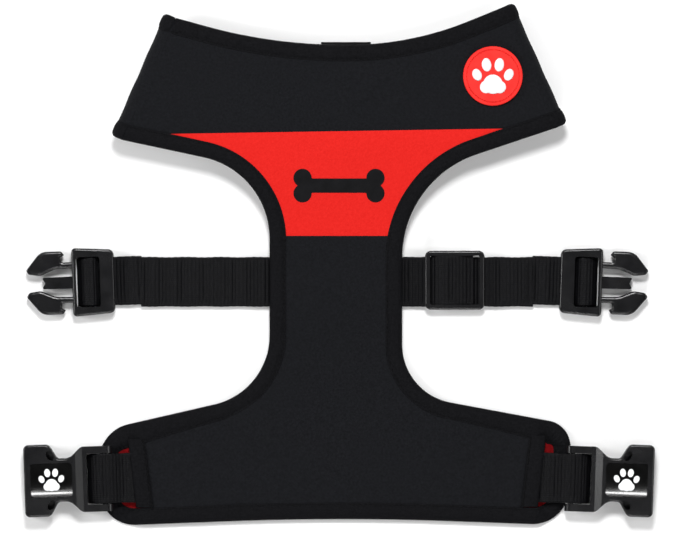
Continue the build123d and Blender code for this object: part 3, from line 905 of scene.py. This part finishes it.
def plug_webs(side, start):
    """Doubled webbing from its stretch of strap into the plug, humped over the crossbar."""
    crossbar_top = 5.0
    peak = crossbar_top + WEB_T / 2 + 0.1
    hump = [
        (start, DOUBLE_HIGH), (7.8, DOUBLE_HIGH), (8.6, 3.2), (9.6, 5.0), (10.8, peak),
        (12.5, peak + 0.2), (14.0, peak), (15.6, 4.9), (17.2, 3.2), (18.3, 1.9), (17.4, 0.95),
        (14.2, DOUBLE_LOW), (start, DOUBLE_LOW),
    ]
    vertices, faces = webbing(hump, 24.4, 0.0)
    origin = (PLUG_X[side], PLUG_Y)
    return placed(vertices, side, origin), mirrored(faces, side)


def pivot_blend(piece):
    """Bake the transform of a piece behind a plug into its mesh, as blended does."""
    blended(piece)


def straps():
    """The girth strap: its fixed middle, its left and right runs, and their ends in the plugs."""
    layers = (DOUBLE_LOW, DOUBLE_HIGH)
    girth = [webbing(flat(-28, 3, z), WEB, STRAP_Y) for z in layers]
    web_piece("girth_webbing", girth, "vest", "girth_strap")
    left = [webbing(flat(-100, -28.05, z), WEB, STRAP_Y) for z in layers]
    piece = web_piece("left_strap_webbing", left, None, "left_strap_run")
    blended(piece)
    piece = web_piece("left_plug_strap", [plug_webs(-1, -14.0)], None, "left_plug_webbing")
    pivot_blend(piece)
    right = [webbing(flat(x0, 98, z), WEB, STRAP_Y) for x0, z in ((22, DOUBLE_HIGH), (94, DOUBLE_LOW))]
    web_piece("right_strap_webbing", right, "right_strap", "right_strap_run")
    piece = web_piece("right_plug_strap", [plug_webs(1, -14.2)], None, "right_plug_webbing")
    pivot_blend(piece)


def slider_web():
    """Webbing humped over the slider's bar, and the length under it that comes from the vest."""
    hump = [
        (46.6, 3.9), (48.2, 4.3), (50.4, 5.3), (53.0, 5.9), (56.0, 6.05), (59.0, 5.8), (62.0, 5.0),
        (64.6, 4.1), (67.6, 3.8),
    ]
    lots = [webbing(hump, 25.2, -7.2), webbing(flat(13, 66.5, DOUBLE_LOW), WEB, STRAP_Y)]
    web_piece("slider_loop_webbing", lots, "slider", "slider_webbing")


def socket_web(side):
    """Webbing round the socket's rear bar, then doubled back into the wing's pocket."""
    loop = [
        (-17.5, 3.4), (-14.5, 4.1), (-11.0, 4.55), (-7.5, 4.9), (-4.0, 7.0), (-1.5, 8.2), (1.2, 8.3),
        (4.2, 7.6), (7.2, 5.4), (8.4, 3.7), (9.0, 2.2), (9.2, 1.3), (8.4, 0.9), (5.0, 0.95),
        (1.5, 1.6), (-2.0, 2.6), (-5.0, 3.1), (-8.5, 3.1), (-14.0, 2.4),
    ]
    vertices, faces = webbing(loop, WEB, 0.0)
    vertices = placed(vertices, side, (BAR_X, SOCKET_Y))
    name = NAMES[side]
    lots = [(vertices, mirrored(faces, side))]
    web_piece(name + "_socket_webbing", lots, name + "_wing", name + "_socket_strap")


def bar_tack(name, body, x, z):
    """Two columns of dense zigzag stitching across the girth strap."""
    pitch, apart, half = 0.85, 3.4, 9.5
    lots = []
    for column in range(2):
        for k in range(int(2 * half / pitch)):
            sway = 0.35 if k % 2 else -0.35
            centre = np.array([x + column * apart + sway, STRAP_Y - half + pitch * k, z])
            lean = np.array([sway, 1.0, 0])
            lean /= np.linalg.norm(lean)
            lots.append(bar(centre, lean, np.array([lean[1], -lean[0], 0]), UP, 1.3, 0.24))
    vertices, faces = joined(lots)
    make_piece(name, vertices, faces, THREAD, body)


# ------------------------------------------------------------ prints, badge and labels

def bone_loop(length, width, knob):
    """A dog bone: a straight shaft with two round knobs at each end, and a notch between them."""
    centre_x, centre_y = length / 2 - knob, width / 2 - knob
    shaft = knob * 0.78
    start = math.pi - math.asin((shaft - centre_y) / knob)
    stop = -math.asin(centre_y / knob)
    angles = np.linspace(start, stop, 22)
    quarter = [(centre_x + knob * math.cos(a), centre_y + knob * math.sin(a)) for a in angles]
    right = quarter + [(x, -y) for x, y in quarter[-2::-1]]
    return np.array(right + [(-x, -y) for x, y in right])


def on_shell(lift):
    """A height function for slab that follows the neoprene's top."""
    return lambda x, y, edge: shell_top(x, y) + lift


def chest_print():
    """A bone printed on the red band."""
    middle = np.array([0.0, 40.5])
    loop = bone_loop(length=46.0, width=17.0, knob=4.6) + middle
    vertices, faces = slab(loop, on_shell(0.14), on_shell(-0.3), 1.6)
    make_piece("chest_print", vertices, faces, PRINT, "vest")


PAW_PAD = [(0, 0.4, 4.9), (-3.4, -1.0, 3.2), (3.4, -1.0, 3.2)]      # circles from the pad's middle
PAW_PAD_AT = np.array([0, -4.6])
PAW_TOES = [(-8.0, 0.6, 2.3, 3.1, 25), (-3.2, 5.6, 2.4, 3.4, 8)]      # ellipses, turned by degrees
PAW_TOES += [(-x, y, rx, ry, -turn) for x, y, rx, ry, turn in PAW_TOES[::-1]]


def paw_loops(scale):
    """A paw's outlines: a pad that reaches as far as its three circles do, and four toes."""
    pad = []
    for angle in np.linspace(0, 2 * math.pi, 48, endpoint=False):
        ray = np.array([math.cos(angle), math.sin(angle)])
        reach = 0.0
        for x, y, r in PAW_PAD:
            centre = np.array([x, y])
            ahead = centre @ ray
            gap = r * r - (centre @ centre - ahead * ahead)
            if gap > 0:
                reach = max(reach, ahead + math.sqrt(gap))
        pad.append(ray * reach + PAW_PAD_AT)
    loops = [np.array(pad) * scale]
    for x, y, rx, ry, turn in PAW_TOES:
        t = math.radians(turn)
        a = np.linspace(0, 2 * math.pi, 26, endpoint=False)
        ex, ey = rx * np.cos(a), ry * np.sin(a)
        toe_x = x + ex * math.cos(t) - ey * math.sin(t)
        toe_y = y + ex * math.sin(t) + ey * math.cos(t)
        loops.append(np.column_stack([toe_x, toe_y]) * scale)
    return loops


def cushion(loop, base, rise, spacing):
    """A flat-bottomed shape with a softly rounded edge."""
    def over(x, y, edge):
        return base + rise * (0.45 + 0.55 * min(edge / 0.7, 1.0) ** 0.5)
    return slab(loop, over, level(base), spacing)


def badge():
    """The badge's raised paw, and the stitches that hold the badge."""
    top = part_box("badge_disc")[1].z / MM
    lots = [cushion(loop + np.array(BADGE), top - 0.02, 0.95, 0.5) for loop in paw_loops(1.0)]
    vertices, faces = joined(lots)
    piece = make_piece("badge_paw", vertices, faces, WHITE, "vest")
    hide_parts("badge_emblem")
    thread = []
    count = 46
    for k in range(count):
        a = 2 * math.pi * k / count
        ray = np.array([math.cos(a), math.sin(a), 0])
        centre = np.array([*BADGE, top - 0.22]) + ray * (BADGE_R - 1.8)
        thread.append(bar(centre, np.array([-ray[1], ray[0], 0]), ray, UP, 1.45, 0.24))
    vertices, faces = joined(thread)
    make_piece("badge_stitching", vertices, faces, BADGE_RED, "vest")


def label_print(side):
    """A small white paw on a socket's label."""
    name = NAMES[side]
    middle = sum(LABEL_X) / 2
    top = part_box(name + "_socket_label")[1].z / MM

    def on_dome(lift):
        return lambda x, y, edge: top - y * y / (2 * LABEL_DOME) + lift

    lots = []
    for loop in paw_loops(0.62):
        loop = np.column_stack([loop[:, 0] * side + middle, loop[:, 1] + 0.4])
        lots.append(slab(loop, on_dome(0.05), on_dome(-0.2), 0.6))
    vertices, faces = joined(lots)
    vertices = placed(vertices, side, (BAR_X, SOCKET_Y))
    make_piece(name + "_label_print", vertices, mirrored(faces, side), WHITE, name + "_socket")


# ------------------------------------------------------------ latch arms

ARM_LOW, ARM_TOP = 1.5, 6.1


def arm_round(edge):
    """How far an arm's faces are rounded off at its edge."""
    return 0.55 * math.exp(-edge / 0.35)


def arm_over(x, y, edge):
    return ARM_TOP - arm_round(edge)


def arm_under(x, y, edge):
    return ARM_LOW + arm_round(edge)


def latch_arms(side):
    """Sprung arms that grow out of the plug's frame."""
    name = NAMES[side]
    corners = [
        ((-1.2, 7.3), 0), ((8.6, 7.0), 6), ((16.2, 3.8), 4), ((21.8, 4.6), 1.2), ((23.3, 6.6), 0.8),
        ((15.6, 16.0), 7), ((5.2, 15.9), 1.2), ((3.7, 13.9), 0.2), ((5.9, 12.8), 0.6), ((5.3, 10.3), 1.0),
        ((-1.2, 10.3), 0),
    ]
    loop = evenly(rounded_path(corners, 0.5), 0.55) + np.array([PLUG_LONG, 0])
    upper_vertices, upper_faces = slab(loop, arm_over, arm_under, 0.7)
    for up, letter, word in ((1, "a", "upper"), (-1, "b", "lower")):
        vertices = [(x, y * up, z) for x, y, z in upper_vertices]
        vertices = placed(vertices, side, (PLUG_X[side], PLUG_Y))
        faces = mirrored(upper_faces, side * up)
        piece = make_piece(f"{name}_{word}_arm", vertices, faces, PLASTIC, None)
        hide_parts(f"{name}_{word}_latch")
        blended(piece)


# ------------------------------------------------------------ everything, then stage and camera

def finish_node(node, material):
    """Give a CAD piece that stays visible its material."""
    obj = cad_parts[node]
    if not obj.material_slots:
        obj.data.materials.append(material)
    for slot in obj.material_slots:
        slot.material = material


front_cloth()
bindings()
back_collar()
dorsal()
straps()
slider_web()
chest_print()
badge()
for side in (-1, 1):
    wing_cloth(side)
    pocket_tape(side)
    shoulder(side)
    socket_web(side)
    label_print(side)
    latch_arms(side)
    finish_node(NAMES[side] + "_socket_shell", PLASTIC)
    finish_node(NAMES[side] + "_socket_label", LABEL)
    finish_node(NAMES[side] + "_plug_frame", PLASTIC)
finish_node("strap_slider", PLASTIC)
finish_node("badge_disc", BADGE_RED)
finish_node("lead_ring", STEEL)
bar_tack("right_strap_tack", "right_strap", 95.0, DOUBLE_HIGH + WEB_T / 2)


def stage():
    """A plain pale floor just under the vest."""
    paint = shader("floor", (0.93, 0.93, 0.93), 0.9)[0]
    mesh = bpy.data.meshes.new("floor")
    reach = 4.0
    corners = [(-reach, -reach), (reach, -reach), (reach, reach), (-reach, reach)]
    mesh.from_pydata([(x, y, -0.0002) for x, y in corners], [], [(0, 1, 2, 3)])
    floor = bpy.data.objects.new("floor", mesh)
    mesh.materials.append(paint)
    bpy.context.collection.objects.link(floor)


def light(name, place_at, size, power, aim=(0, 0, 0), depth=None):
    """A round area light, or a long one if it has a depth. Places are in metres."""
    data = bpy.data.lights.new(name, "AREA")
    data.shape = "RECTANGLE" if depth else "DISK"
    data.size = size
    if depth:
        data.size_y = depth
    data.energy = power
    lamp = bpy.data.objects.new(name, data)
    bpy.context.collection.objects.link(lamp)
    lamp.location = place_at
    lamp.rotation_euler = (Vector(aim) - Vector(place_at)).to_track_quat("-Z", "Y").to_euler()


def studio():
    """A white room with a dark patch overhead, so that flat glossy faces look black from above."""
    scene = bpy.context.scene
    scene.view_settings.view_transform = "Standard"
    scene.view_settings.look = "None"
    world = bpy.data.worlds.new("studio")
    world.use_nodes = True
    tree = world.node_tree
    back = tree.nodes["Background"]
    back.inputs["Strength"].default_value = 0.5
    where = add(tree, "ShaderNodeTexCoord").outputs["Generated"]
    split = add(tree, "ShaderNodeSeparateXYZ")
    ramp = add(tree, "ShaderNodeValToRGB")
    ramp.color_ramp.elements[0].position = 0.35
    ramp.color_ramp.elements[0].color = (1, 1, 1, 1)
    ramp.color_ramp.elements[1].position = 0.8
    ramp.color_ramp.elements[1].color = (0.03, 0.03, 0.03, 1)
    tree.links.new(where, split.inputs["Vector"])
    tree.links.new(split.outputs["Z"], ramp.inputs["Fac"])
    tree.links.new(ramp.outputs["Color"], back.inputs["Color"])
    scene.world = world
    light("key", (0.0, 0.75, 1.3), 0.4, 18)
    light("left", (-0.95, 0.1, 0.6), 0.35, 4.5)
    light("right", (0.9, -0.1, 0.75), 0.5, 2)
    light("low fill", (0.0, -1.0, 0.7), 0.5, 4.5)
    light("strip", (0.0, -0.43, 1.4), 0.5, 2.0, (0, -0.43, 0), 0.04)


def camera():
    """Straight above, and far enough away that raised parts stay where they are in plan."""
    height = 5.0
    plane = 6 * MM
    view_width = 345.4 * MM
    data = bpy.data.cameras.new("camera")
    data.sensor_width = 36.0
    data.lens = data.sensor_width * (height - plane) / view_width
    cam = bpy.data.objects.new("camera", data)
    cam.location = (1.5 * MM, -4.3 * MM, height)
    bpy.context.collection.objects.link(cam)
    bpy.context.scene.camera = cam


stage()
studio()
camera()
